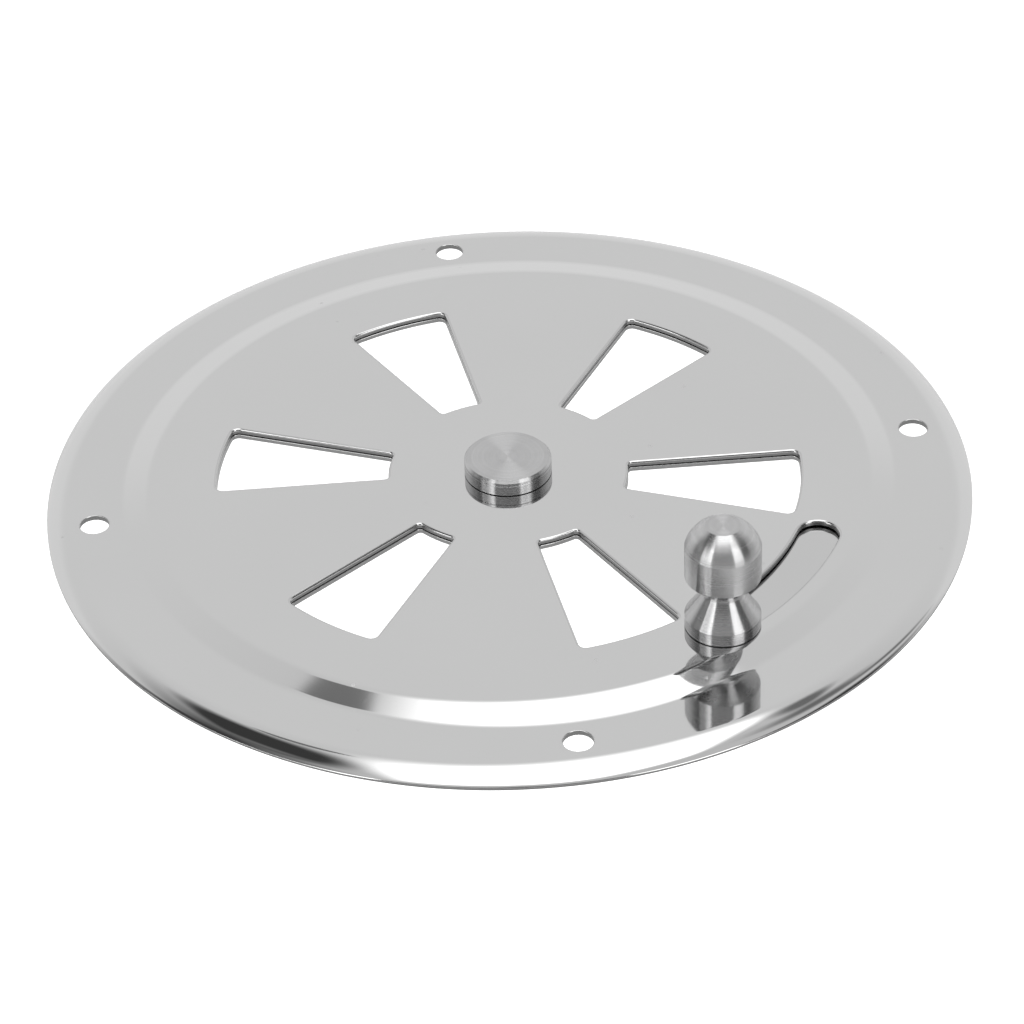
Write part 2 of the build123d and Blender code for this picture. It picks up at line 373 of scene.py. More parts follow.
class Surface(Tree):
    """Shader tree of a material or a world."""

    def __init__(self, owner):
        owner.use_nodes = True
        super().__init__(owner.node_tree)
        self.owner = owner

    def place(self, shift=(0, 0, 0)):
        """Object coordinates from a point of the piece."""
        point = self.node("ShaderNodeTexCoord", output="Object")
        moved = {"Vector": point, "Location": tuple(-x for x in shift)}
        return self.node("ShaderNodeMapping", moved)

    def noise(self, vector, scale, detail=2.0, roughness=0.5, stretch=None):
        """Noise from 0 to 1, on coordinates that may be stretched."""
        if stretch:
            moved = {"Vector": vector, "Scale": stretch}
            vector = self.node("ShaderNodeMapping", moved)
        sockets = {"Vector": vector, "Scale": scale, "Detail": detail, "Roughness": roughness}
        return self.node("ShaderNodeTexNoise", sockets)

    def rings(self, along, detail, roughness=0.5):
        """Noise from 0 to 1 that changes in one direction only."""
        sockets = {"W": along, "Scale": 1.0, "Detail": detail, "Roughness": roughness}
        return self.node("ShaderNodeTexNoise", sockets, noise_dimensions="1D")

    def tint(self, rgb, amount):
        """A colour multiplied by a varying number."""
        grey = self.node("ShaderNodeCombineColor", {0: amount, 1: amount, 2: amount})
        sockets = {"Factor": 1.0, 6: (*rgb, 1), 7: grey}
        return self.node("ShaderNodeMix", sockets, 2, data_type="RGBA", blend_type="MULTIPLY")

    def bump(self, height, distance, normal=None):
        """Normal from a height, with the metres that a height of one stands for."""
        sockets = {"Height": height, "Distance": distance}
        if normal:
            sockets["Normal"] = normal
        return self.node("ShaderNodeBump", sockets)

    def finish(self, sockets):
        """Principled surface on the output. Returns the material."""
        made = self.node("ShaderNodeBsdfPrincipled", sockets)
        self.node("ShaderNodeOutputMaterial", {"Surface": made})
        return self.owner


class Growth(Tree):
    """Geometry node tree with named inputs."""

    def __init__(self, name, inputs):
        """Each named input has a kind of socket."""
        super().__init__(bpy.data.node_groups.new(name, "GeometryNodeTree"))
        self.inputs = {"Geometry": "Geometry", **inputs}
        for label, kind in self.inputs.items():
            self.tree.interface.new_socket(name=label, in_out="INPUT", socket_type=f"NodeSocket{kind}")
        self.tree.interface.new_socket(name="Geometry", in_out="OUTPUT", socket_type="NodeSocketGeometry")

    def given(self, label):
        """One of the tree's named inputs."""
        return self.node("NodeGroupInput", output=label)

    def around(self, piece, count):
        """Copies of a piece round the pivot."""
        points = self.node("GeometryNodePoints", {"Count": count})
        bearing = self.node("GeometryNodeInputIndex") / count * tau
        turned = self.node("ShaderNodeCombineXYZ", {"Z": bearing})
        copies = {"Points": points, "Instance": piece, "Rotation": turned}
        copies = self.node("GeometryNodeInstanceOnPoints", copies)
        return self.node("GeometryNodeRealizeInstances", {"Geometry": copies})

    def smooth(self, geometry):
        """Smooth shading, broken at sharp edges."""
        every = {"Geometry": geometry, "Shade Smooth": True}
        geometry = self.node("GeometryNodeSetShadeSmooth", every, domain="FACE")
        angle = self.node("GeometryNodeInputMeshEdgeAngle")
        sharp = self.compare("GREATER_THAN", angle, SHARP)
        edges = {"Geometry": geometry, "Selection": sharp, "Shade Smooth": False}
        return self.node("GeometryNodeSetShadeSmooth", edges, domain="EDGE")

    def compare(self, operation, number, other):
        """Whether one number is above or below another."""
        return self.node("FunctionNodeCompare", {0: number, 1: other}, operation=operation)

    def same(self, number, other):
        """Whether two whole numbers are the same."""
        sockets = {2: number, 3: other}
        return self.node("FunctionNodeCompare", sockets, data_type="INT", operation="EQUAL")

    def finish(self, geometry):
        """Ends the tree: instances made real, then the material."""
        real = self.node("GeometryNodeRealizeInstances", {"Geometry": geometry})
        sockets = {"Geometry": real, "Material": self.given("Material")}
        dressed = self.node("GeometryNodeSetMaterial", sockets)
        self.node("NodeGroupOutput", {"Geometry": dressed})

    def grow(self, piece, **given):
        """Runs the tree on a piece, which keeps the result as its mesh."""
        modifier = piece.modifiers.new(self.tree.name, "NODES")
        modifier.node_group = self.tree
        for item in self.tree.interface.items_tree:
            label = item.name.lower().replace(" ", "_")
            if item.in_out == "INPUT" and label in given:
                modifier[item.identifier] = given[label]
        piece.update_tag()
        depsgraph = bpy.context.evaluated_depsgraph_get()
        grown = bpy.data.meshes.new_from_object(piece.evaluated_get(depsgraph))
        piece.modifiers.remove(modifier)
        grown.name = piece.name
        piece.data = grown


def polished_steel(name, finish):
    """Mirror polish with faint scuffs, specks and slow waves, dull where it was cut. Cut walls are darkened
    in colour too, partly as torn metal and partly as painted shade.
    """
    rgb, roughness, wall = (getattr(finish, f"{name}_{look}") for look in ("colour", "roughness", "wall"))
    tree = Surface(bpy.data.materials.new(f"{name}_polish"))
    point = tree.place()
    cloud = tree.noise(point, 45.0, 3.0)
    scuff = tree.noise(point, 1500.0, 2.0, 0.6, (1.0, 0.07, 1.0)).step(0.6, 0.78)
    cross = tree.noise(point, 1300.0, 2.0, 0.6, (0.09, 1.0, 1.0)).step(0.62, 0.8)
    grain = tree.node("ShaderNodeTexVoronoi", {"Vector": point, "Scale": 260.0})
    speck = grain.step(0.05, 0.1, 1.0, 0.0) * tree.noise(point, 90.0).step(0.55, 0.62)
    marks = (scuff + cross) * cloud
    waves = tree.noise(point, 38.0, 1.0)
    dull = tree.node("ShaderNodeAttribute", output="Fac", attribute_name="dull")
    tear = tree.noise(point, 2600.0, 3.0, 0.65, (1.0, 1.0, 0.2))
    normal = tree.bump(waves, 0.02 * MM)
    normal = tree.bump(marks, 0.0004 * MM, normal)
    normal = tree.bump(dull * tear, 0.015 * MM, normal)
    polish = 1.0 - 0.03 * cloud - 0.12 * speck
    return tree.finish({
        # Dull faces take the wall share of the colour, which on punched walls is partly painted shade
        "Base Color": tree.tint(rgb, tree.mix(polish, wall * (0.8 + 0.4 * tear), dull)),
        "Metallic": 1.0,
        "Roughness": tree.mix(roughness + 0.03 * marks + 0.3 * speck, 0.3 + 0.2 * tear, dull),
        "Normal": normal,
    })


def turned_steel(name, finish, axis):
    """Bright turned bar. The lathe's rings round its upright axis draw highlights out lengthwise."""
    tree = Surface(bpy.data.materials.new(name))
    point = tree.place((*axis, 0.0))
    x, y, z = point.parts()
    radius = (x * x + y * y).root()
    along = z - radius
    rings = tree.rings(along / finish.tool_pitch, 2.0, 0.6)
    bands = tree.rings(along / finish.band_pitch, 1.0)
    cloud = tree.noise(point, 420.0, 3.0)
    up = tree.node("ShaderNodeNewGeometry", output="Normal").parts()[2]
    faced = up.step(0.97, 0.99)
    rough = tree.mix(finish.turned_roughness, finish.faced_roughness, faced)
    return tree.finish({
        "Base Color": tree.tint(finish.turned_colour, 0.8 + 0.25 * rings + 0.12 * bands - 0.1 * cloud),
        "Metallic": 1.0,
        "Roughness": rough + 0.06 * (rings - 0.5) + 0.05 * (cloud - 0.5),
        "Anisotropic": 1.0,
        "Anisotropic Rotation": 0.25,
        "Normal": tree.bump(rings + 0.6 * bands, finish.tool_depth),
    })


def grained(name, rgb, look, **more):
    """Plain surface of nuts and washers: a clouded colour and a fine grain."""
    scale, clouds, tint, rough, bump = look
    tree = Surface(bpy.data.materials.new(name))
    point = tree.place()
    grain = tree.noise(point, scale, 3.0, 0.6)
    return tree.finish({
        "Base Color": tree.tint(rgb, tint[0] + tint[1] * tree.noise(point, *clouds)),
        "Roughness": rough[0] + rough[1] * grain,
        "Normal": tree.bump(grain, bump * MM),
        **more,
    })


def fan(centre, radius, start, end, steps):
    """Points of an arc, each with the direction away from its centre."""
    angles = [start + (end - start) * step / steps for step in range(steps + 1)]
    rays = [Vector((cos(angle), sin(angle))) for angle in angles]
    return [(centre + ray * radius, ray) for ray in rays]


def points(arc_points):
    """The points of an arc without their directions."""
    return [point for point, ray in arc_points]


def inward(arc_points):
    """The same arc with its directions turned towards the centre."""
    return [(point, -ray) for point, ray in arc_points]


def hole(centre, radius, steps=HOLE_STEPS):
    """Round outline, anticlockwise."""
    return fan(centre, radius, 0, tau, steps)[:-1]


def eased(start, end):
    """Two points just inside a straight run, which keep its shading flat beside a bend."""
    along = (end - start).normalized() * EASE
    return [start + along, end - along]


def window_outline(sizes):
    """One window about +X, anticlockwise, as points with the direction into the metal."""
    inner_half, outer_half = sizes.inner_width / 2, sizes.outer_width / 2
    low = Vector((sqrt(sizes.window_inner ** 2 - inner_half ** 2), inner_half))
    high = Vector((sqrt(sizes.window_outer ** 2 - outer_half ** 2), outer_half))
    along = (high - low).normalized()
    outside = Vector((-along.y, along.x))

    def corner(rounding, distance):
        """Centre of a rounded corner, at a distance from the pivot."""
        base = low - outside * rounding
        reach = base.dot(along)
        return base + along * (sqrt(reach ** 2 - base.length_squared + distance ** 2) - reach)

    near = corner(sizes.inner_corner, sizes.window_inner + sizes.inner_corner)
    far = corner(sizes.outer_corner, sizes.window_outer - sizes.outer_corner)
    side = atan2(outside.y, outside.x)
    near_bearing, far_bearing = atan2(near.y, near.x), atan2(far.y, far.x)
    side_start, side_end = far + outside * sizes.outer_corner, near + outside * sizes.inner_corner
    half = fan(ORIGIN, sizes.window_outer, 0, far_bearing, OUTER_STEPS)
    half += fan(far, sizes.outer_corner, far_bearing, side, OUTER_CORNER_STEPS)[1:]
    half += [(point, outside) for point in eased(side_start, side_end)]
    half += fan(near, sizes.inner_corner, side, near_bearing + pi, INNER_CORNER_STEPS)
    half += inward(fan(ORIGIN, sizes.window_inner, near_bearing, 0, INNER_STEPS))[1:]
    mirror = Vector((1, -1))
    return half + [(point * mirror, into * mirror) for point, into in reversed(half[1:-1])]


def slot_outline(sizes):
    """The arc slot towards -Y, anticlockwise, as points with the direction into the metal."""
    half = sizes.slot_width / 2
    start, end = -pi / 2 - sizes.travel / 2, -pi / 2 + sizes.travel / 2
    ends = {bearing: fan(ORIGIN, sizes.slot_radius, bearing, bearing, 1)[0][0] for bearing in (start, end)}
    outline = fan(ORIGIN, sizes.slot_radius + half, start, end, SLOT_STEPS)
    outline += fan(ends[end], half, end, end + pi, SLOT_END_STEPS)[1:]
    outline += inward(fan(ORIGIN, sizes.slot_radius - half, end, start, SLOT_STEPS))[1:]
    return outline + fan(ends[start], half, start + pi, start + tau, SLOT_END_STEPS)[1:-1]


def punched(top, back, rounding):
    """Profile of a punched edge: the flat's last strip, a rounded corner and the wall."""
    middle = Vector((rounding, top - rounding))
    corner = points(fan(middle, rounding, pi / 2, pi, EDGE_STEPS))
    wall_end = Vector((0, back))
    return [Vector((rounding + EASE, top)), *corner, eased(corner[-1], wall_end)[0], wall_end]


def step_profile(sizes, depth):
    """Profile of the plate's step at a depth in the sheet, from the middle outwards."""
    slope = atan2(sizes.step_height, sizes.step_width)
    bend = sizes.step_bend
    reach = bend * tan(slope / 2)
    foot = sizes.plate - sizes.rim_width - sizes.ring_width
    brow = foot - sizes.step_width - reach
    foot += reach
    ring = FACE_TOP - sizes.step_height
    above, below = Vector((foot, ring + bend)), Vector((brow, FACE_TOP - bend))
    upper = points(fan(below, bend - depth, pi / 2, pi / 2 - slope, BEND_STEPS))
    lower = points(fan(above, bend + depth, -pi / 2 - slope, -pi / 2, BEND_STEPS))
    start, end = Vector((brow - EASE, FACE_TOP - depth)), Vector((foot + EASE, ring - depth))
    return [start, *upper, *eased(upper[-1], lower[0]), *lower, end]


def rim_profile(sizes):
    """Profile of the rolled rim: over, down the cut edge and back underneath."""
    start = sizes.plate - sizes.rim_width
    ring = FACE_TOP - sizes.step_height
    centre = Vector((start, ring - sizes.rim_bend))
    worn = sizes.plate - sizes.trim_round
    bearing = acos((worn - start) / (sizes.rim_bend - sizes.trim_round))
    corner = centre + (sizes.rim_bend - sizes.trim_round) * Vector((cos(bearing), sin(bearing)))
    inside = sizes.rim_bend - sizes.sheet
    over = points(fan(centre, sizes.rim_bend, pi / 2, bearing, RIM_STEPS))
    over += points(fan(corner, sizes.trim_round, bearing, 0, TRIM_STEPS))[1:]
    under = points(fan(centre, inside, asin(-centre.y / inside), pi / 2, BEND_STEPS))
    top, back = Vector((start - EASE, ring)), Vector((start - EASE, ring - sizes.sheet))
    foot = Vector((sizes.plate, 0))
    return [top, *over, eased(over[-1], foot)[0], foot, *under, back]


class Skin:
    """Strips of faces along outlines, gathered for one mesh."""

    def __init__(self):
        self.places, self.faces, self.kinds, self.dull = [], [], [], []

    def strip(self, outline, profile, kind=ONCE, finish=POLISHED):
        """Faces along a closed outline. The profile has (distance into the metal, height) across the strip.
        Upright faces are torn by the punch and get a darker colour, partly painted shade. The others have
        the given finish."""
        first, rows = len(self.places), len(profile)
        for point, into in outline:
            self.places += [(*(point + into * distance), height) for distance, height in profile]
        for here in range(len(outline)):
            there = (here + 1) % len(outline)
            for row in range(rows - 1):
                a, b = first + here * rows + row, first + there * rows + row
                self.faces.append((a, b, b + 1, a + 1))
                self.kinds.append(kind)
                upright = abs(profile[row][0] - profile[row + 1][0]) < TOUCH
                self.dull.append(TORN_AND_SHADED if upright else finish)

    def turned(self, profile, finish=POLISHED):
        """Faces of a (radius, height) profile turned round the pivot."""
        self.strip(list(reversed(hole(ORIGIN, 0, ROUND))), profile, ONCE, finish)

    def piece(self, name):
        made = shaped(name, self.places, self.faces)
        made.data.attributes.new("kind", "INT", "FACE").data.foreach_set("value", self.kinds)
        made.data.attributes.new("dull", "FLOAT", "FACE").data.foreach_set("value", self.dull)
        return made


def sheet_growth():
    """Node tree that repeats the edges of openings, fills every flat and closes the sheet."""
    flats = {"Top": False, "Back": True, "Ring top": False, "Ring back": True}
    kinds = {"Windows": "Int", "Screw holes": "Int", **dict.fromkeys(flats, "Float"), "Material": "Material"}
    tree = Growth("pressed_sheet", kinds)
    kind = tree.node("GeometryNodeInputNamedAttribute", {"Name": "kind"}, data_type="INT")
    strips = []
    for number, label in ((ONCE, None), (WINDOW, "Windows"), (SCREW_HOLE, "Screw holes")):
        wanted = {"Geometry": tree.given("Geometry"), "Selection": tree.same(kind, number)}
        strip = tree.node("GeometryNodeSeparateGeometry", wanted, domain="FACE")
        strips.append(tree.around(strip, tree.given(label)) if label else strip)
    skin = tree.node("GeometryNodeJoinGeometry", {"Geometry": strips})
    border = tree.same(tree.node("GeometryNodeInputMeshEdgeNeighbors"), 1)
    height = tree.node("GeometryNodeInputPosition").parts()[2]
    parts = [skin]
    for label, faces_down in flats.items():
        at_level = tree.compare("LESS_THAN", abs(height - tree.given(label)), TOUCH)
        both = tree.node("FunctionNodeBooleanMath", {0: border, 1: at_level}, operation="AND")
        loops = tree.node("GeometryNodeMeshToCurve", {"Mesh": skin, "Selection": both})
        flat = tree.node("GeometryNodeFillCurve", {"Curve": loops})
        if faces_down:
            flat = tree.node("GeometryNodeFlipFaces", {"Mesh": flat})
            milled = {"Geometry": flat, "Name": "dull", "Value": MILLED}
            flat = tree.node("GeometryNodeStoreNamedAttribute", milled, domain="FACE", data_type="FLOAT")
        lift = tree.node("ShaderNodeCombineXYZ", {"Z": tree.given(label)})
        parts.append(tree.node("GeometryNodeTransform", {"Geometry": flat, "Translation": lift}))
    shell = tree.node("GeometryNodeJoinGeometry", {"Geometry": parts})
    shell = tree.node("GeometryNodeMergeByDistance", {"Geometry": shell, "Distance": TOUCH})
    tree.finish(tree.smooth(shell))
    return tree


def thread_growth():
    """Node tree that cuts a thread into the lower end of an upright piece."""
    numbers = ("Axis X", "Axis Y", "Radius", "Pitch", "Depth", "Start")
    tree = Growth("thread", {**dict.fromkeys(numbers, "Float"), "Material": "Material"})
    x, y, height = tree.node("GeometryNodeInputPosition").parts()
    across, away = x - tree.given("Axis X"), y - tree.given("Axis Y")
    radius = (across * across + away * away).root().at_least(TOUCH)
    bearing = away.math("ARCTAN2", away, across) / tau
    phase = height / tree.given("Pitch") - bearing
    flank = abs(phase.math("FRACT", phase) - 0.5) * 2.0
    groove = (FLANK_START - FLANK_SLOPE * flank).at_least(0.0).at_most(1.0)
    cut = (tree.given("Radius") - tree.given("Depth") * groove).at_most(radius) / radius
    below = tree.compare("LESS_THAN", height, tree.given("Start"))
    x, y = tree.given("Axis X") + across * cut, tree.given("Axis Y") + away * cut
    moved = tree.node("ShaderNodeCombineXYZ", {"X": x, "Y": y, "Z": height})
    sockets = {"Geometry": tree.given("Geometry"), "Selection": below, "Position": moved}
    tree.finish(tree.node("GeometryNodeSetPosition", sockets))
    return tree


def placed(name, data):
    """A new object of the scene."""
    made = bpy.data.objects.new(name, data)
    bpy.context.scene.collection.objects.link(made)
    return made


def shaped(name, places, faces):
    """A new mesh object of the scene."""
    mesh = bpy.data.meshes.new(name)
    mesh.from_pydata(places, [], faces)
    return placed(name, mesh)


def dress(node, material):
    """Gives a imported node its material."""
    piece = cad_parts[node]
    piece.data.materials.clear()
    piece.data.materials.append(material)


def section(corners):
    """Section of a turned piece from (radius, height, rounding) corners, from the top down.
    Gives segments of two points with the outward direction at each."""
    bends = [Vector(corner[:2]) for corner in corners]
    trimmed = []
    for index, corner in enumerate(corners):
        here = bends[index]
        rounding = corner[2] if len(corner) > 2 else 0
        if not rounding:
            trimmed.append((here, here, None))
            continue
        before = (bends[index - 1] - here).normalized()
        after = (bends[index + 1] - here).normalized()
        half = before.angle(after) / 2
        reach = rounding / tan(half)
        centre = here + (before + after).normalized() * rounding / sin(half)
        trimmed.append((here + before * reach, here + after * reach, centre))
    made = []
    for index, (start, end, centre) in enumerate(trimmed):
        if centre is not None:
            made += arc(start, end, centre, FILLET_STEPS)
        if index + 1 < len(trimmed):
            made += straight(end, trimmed[index + 1][0])
    return made


def straight(start, end):
    """One straight segment of a section, with its outward direction."""
    along = (end - start).normalized()
    out = Vector((-along.y, along.x))
    return [(start, end, out, out)]


def arc(start, end, centre, steps):
    """Arc segments between two points of a circle, the short way round."""
    first, last = start - centre, end - centre
    sweep = atan2(first.x * last.y - first.y * last.x, first.dot(last))
    sign = 1 if sweep < 0 else -1
    rays = [Matrix.Rotation(sweep * step / steps, 2) @ first for step in range(steps + 1)]
    pairs = zip(rays, rays[1:])
    return [(centre + a, centre + b, sign * a.normalized(), sign * b.normalized()) for a, b in pairs]


def lathe(name, segments, count, axis):
    """A section turned round an upright axis, with exact normals."""
    places, faces, normals, index = [], [], [], {}
    rays = [Vector((cos(angle), sin(angle))) for angle in (tau * n / count for n in range(count))]

    def vertex(point, number):
        radius = max(point.x, 0.0)
        number = 0 if radius < TINY else number
        key = (round(radius, DIGITS), round(point.y, DIGITS), number)
        if key not in index:
            index[key] = len(places)
            places.append((axis[0] + radius * rays[number].x, axis[1] + radius * rays[number].y, point.y))
        return index[key]

    for start, end, out_start, out_end in segments:
        if (start - end).length < TINY:
            continue
        for number in range(count):
            after = (number + 1) % count
            face = {}
            low = [(end, out_end, number), (end, out_end, after)]
            high = [(start, out_start, after), (start, out_start, number)]
            for point, out, here in low + high:
                normal = (0, 0, 0) if out is None else (*(rays[here] * out.x), out.y)
                face.setdefault(vertex(point, here), normal)
            faces.append(list(face))
            normals += face.values()
    made = shaped(name, places, faces)
    made.data.shade_smooth()
    made.data.normals_split_custom_set(normals)
    return made


def threaded(name, upper, thread, axis, segments, material):
    """Turned piece: an upper section, then a cut thread down to its chamfered end."""
    radius, pitch, start, end, chamfer = thread
    face = Vector((radius - chamfer, end))
    corners = [Vector((radius, start)), Vector((radius, end + chamfer)), face]
    lower = []
    for high, low in zip(corners, corners[1:]):
        count = ceil((low - high).length / pitch * THREAD_STEPS)
        stops = [high.lerp(low, step / count) for step in range(count + 1)]
        lower += [(a, b, None, None) for a, b in zip(stops, stops[1:])]
    made = lathe(name, upper + lower + straight(face, Vector((0, end))), segments, axis)
    sizes = {"radius": radius, "pitch": pitch, "depth": pitch * THREAD_DEPTH, "start": start}
    thread_growth().grow(made, material=material, axis_x=axis[0], axis_y=axis[1], **sizes)
    return made


class VENT_OT_studio(Operator):
    """Camera, floor and the room that lights the steel"""

    bl_idname = "vent.studio"
    bl_label = "Studio"

    def execute(self, context):
        studio = context.scene.vent_studio
        self.camera(context, studio)
        self.floor(studio)
        self.room(context, studio)
        context.scene.view_settings.view_transform = "Standard"
        return {"FINISHED"}

    @staticmethod
    def camera(context, studio):
        data = bpy.data.cameras.new("camera")
        data.lens = studio.lens
        data.clip_start, data.clip_end = CLIP
        camera = placed("camera", data)
        facing = Matrix.Rotation(studio.azimuth, 4, "Z")
        facing = facing @ Matrix.Rotation(pi / 2 - studio.elevation, 4, "X")
        facing = facing @ Matrix.Rotation(studio.roll, 4, "Z")
        offset = facing @ Vector((studio.aim_right, -studio.aim_down, studio.distance))
        camera.matrix_world = Matrix.Translation(Vector((0, 0, FACE_TOP)) + offset) @ facing
        context.scene.camera = camera

    @staticmethod
    def floor(studio):
        corners = [(*corner, -studio.floor_drop) for corner in FLOOR_CORNERS]
        floor = shaped("floor", corners, [(0, 1, 2, 3)])
        tree = Surface(bpy.data.materials.new("floor"))
        matt = tree.node("ShaderNodeBsdfDiffuse", {"Color": (*studio.floor_colour, 1)})
        kinds = ("Camera", "Glossy", "Transmission")
        camera, gloss, glass = (tree.node("ShaderNodeLightPath", output=f"Is {kind} Ray") for kind in kinds)
        seen = camera + studio.floor_gloss * gloss + glass
        glow = tree.node("ShaderNodeEmission", {"Strength": studio.floor_glow * seen})
        both = tree.node("ShaderNodeAddShader", {0: matt, 1: glow})
        tree.node("ShaderNodeOutputMaterial", {"Surface": both})
        floor.data.materials.append(tree.owner)

    def room(self, context, studio):
        """What the steel reflects: backdrop, dark walls, two strips and a softbox."""
        world = bpy.data.worlds.new("room")
        context.scene.world = world
        tree = Surface(world)
        ray = tree.node("ShaderNodeTexCoord", output="Generated")
        sockets = {"Vector": ray, "Rotation": (0, 0, -studio.azimuth)}
        right, far, up = tree.node("ShaderNodeMapping", sockets, vector_type="VECTOR").parts()
        height = up.math("DEGREES", up.math("ARCSINE", up))
        bearing = up.math("DEGREES", up.math("ARCTAN2", right, far))
        x, y = right / up.at_least(LOWEST), far / up.at_least(LOWEST)
        light = studio.backdrop * y.step(*CEILING_FADE) * up.step(*HORIZON_GLOW)
        past = abs(bearing) - SIDEWAYS
        top = height - (WALL_FALL * past).at_most(WALL_RISE * past)
        low = top.step(*WALL_TOP, 1.0, 0.0)
        wall = tree.mix(studio.shade, studio.front, past.step(*BEHIND))
        light = tree.mix(light, wall, low * past.step(*SIDES))
        for heights, bearings in WALL_WINDOWS:
            opening = height.between(*heights) * bearing.between(*bearings)
            light = tree.mix(light, studio.wall_window, opening)
        shown = low * height.step(*STRIP_FOOT)
        for share, bearings in STRIPS:
            light = tree.mix(light, share * studio.strips, shown * bearing.between(*bearings))
        overhead = up.step(*CEILING_START)
        for shade, *oval in DARK_OVALS:
            light = tree.mix(light, getattr(studio, shade), overhead * self.oval(tree, x, y, *oval))
        box = self.softbox(x, y) * y.step(*SOFTBOX_FADE)
        light = tree.mix(light, studio.softbox, overhead * box)
        light = tree.mix(light, studio.shade_spot, overhead * self.oval(tree, x, y, *SPOT))
        rays = tree.node("ShaderNodeLightPath", output="Is Camera Ray")
        sockets = {"Color": (1, 1, 1, 1), "Strength": tree.mix(light, 1.0, rays)}
        made = tree.node("ShaderNodeBackground", sockets)
        tree.node("ShaderNodeOutputWorld", {"Surface": made})

    @staticmethod
    def oval(tree, x, y, middle, half, turned, soft):
        """One inside a soft-edged oval on the ceiling."""
        sockets = {
            "Vector": tree.node("ShaderNodeCombineXYZ", {"X": x, "Y": y}),
            "Location": (*middle, 0),
            "Rotation": (0, 0, radians(turned)),
            "Scale": (*half, 1),
        }
        here = tree.node("ShaderNodeMapping", sockets, vector_type="TEXTURE")
        away = tree.node("ShaderNodeVectorMath", {0: here}, "Value", operation="LENGTH")
        return away.step(1 - soft, 1 + soft, 1.0, 0.0)

    @staticmethod
    def softbox(x, y):
        """One inside the softbox's outline, which is convex."""
        mask = 1.0
        for (start, blur), (end, _) in zip(SOFTBOX, SOFTBOX[1:] + SOFTBOX[:1]):
            run = (Vector(end) - Vector(start)).normalized()
            within = y * run.x - x * run.y - (start[1] * run.x - start[0] * run.y)
            mask = within.step(-blur / 2, blur / 2) * mask
        return mask


class VENT_OT_plate(Operator):
    """Polished face plate: pressed step, rolled rim, punched windows, slot and holes"""

    bl_idname = "vent.plate"
    bl_label = "Face plate"

    def execute(self, context):
        finish, sizes = context.scene.vent_finish, context.scene.vent_sheet
        back, ring = FACE_TOP - sizes.sheet, FACE_TOP - sizes.step_height
        edge = punched(FACE_TOP, back, sizes.edge_round)
        skin = Skin()
        skin.strip(window_outline(sizes), edge, WINDOW, EDGE)
        skin.strip(slot_outline(sizes), edge, ONCE, EDGE)
        skin.strip(hole(ORIGIN, sizes.pivot_hole), [Vector((0, FACE_TOP)), Vector((0, back))])
        bearing = pi / sizes.screw_holes
        first_screw = (sizes.plate - sizes.screw_inset) * Vector((cos(bearing), sin(bearing)))
        screw_edge = punched(ring, ring - sizes.sheet, sizes.screw_round)
        skin.strip(hole(first_screw, sizes.screw_hole), screw_edge, SCREW_HOLE, EDGE)
        skin.turned(step_profile(sizes, 0))
        skin.turned(rim_profile(sizes))
        skin.turned(list(reversed(step_profile(sizes, sizes.sheet))), MILLED)
        plate = skin.piece("plate_pressed")
        counts = {"windows": sizes.windows, "screw_holes": sizes.screw_holes}
        levels = {"top": FACE_TOP, "back": back, "ring_top": ring, "ring_back": ring - sizes.sheet}
        sheet_growth().grow(plate, material=polished_steel("plate", finish), **counts, **levels)
        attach(plate, "cover")
        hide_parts("face_plate")
        return {"FINISHED"}


class VENT_OT_disc(Operator):
    """Shutter disc behind the plate, with the plate's windows"""

    bl_idname = "vent.disc"
    bl_label = "Shutter disc"

    def execute(self, context):
        finish, sizes = context.scene.vent_finish, context.scene.vent_sheet
        edge = punched(DISC_TOP, DISC_BACK, sizes.disc_round)
        wall = [Vector((0, DISC_TOP)), Vector((0, DISC_BACK))]
        skin = Skin()
        skin.strip(window_outline(sizes), edge, WINDOW, EDGE)
        skin.strip(hole(ORIGIN, sizes.pivot_hole), wall)
        skin.strip(hole(Vector(KNOB_AXIS), sizes.knob_hole), wall)
        rounding = sizes.disc_round
        worn = sizes.disc - rounding
        upper = fan(Vector((worn, DISC_TOP - rounding)), rounding, pi / 2, 0, EDGE_STEPS)
        lower = fan(Vector((worn, DISC_BACK + rounding)), rounding, 0, -pi / 2, EDGE_STEPS)
        outside = points(upper + lower)
        skin.turned([Vector((worn - EASE, DISC_TOP)), *outside, Vector((worn - EASE, DISC_BACK))])
        disc = skin.piece("disc_blank")
        counts = {"windows": sizes.windows, "screw_holes": 0}
        levels = {"top": DISC_TOP, "back": DISC_BACK}
        sheet_growth().grow(disc, material=polished_steel("disc", finish), **counts, **levels)
        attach(disc, "shutter")
        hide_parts("shutter_disc")
        return {"FINISHED"}


class VENT_OT_stud(Operator):
    """Turned pivot stud"""

    bl_idname = "vent.stud"
    bl_label = "Pivot stud"

    def execute(self, context):
        finish, turned = context.scene.vent_finish, context.scene.vent_turned
        top = FACE_TOP + turned.stud_head_height
        head, shank = turned.stud_head, turned.stud_shank
        groove = top - 2 * turned.stud_chamfer
        under = FACE_TOP + turned.stud_foot
        seat = head - 3 * turned.stud_foot
        start = STUD_END + turned.thread_shown
        outline = [
            (0, top),
            (head - turned.stud_chamfer, top),
            (head, top - turned.stud_chamfer),
            (head, groove),
            (head - turned.groove_depth, groove - turned.groove_width / 2),
            (head, groove - turned.groove_width),
            (head, under),
            (seat, under),
            (seat, FACE_TOP),
            (shank, FACE_TOP),
            (shank, start),
        ]
        thread = (shank, turned.stud_pitch, start, STUD_END, turned.stud_end)
        material = turned_steel("stud_turning", finish, ORIGIN)
        stud = threaded("stud", section(outline), thread, ORIGIN, turned.segments, material)
        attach(stud, "cover")
        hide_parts("pivot_stud")
        return {"FINISHED"}


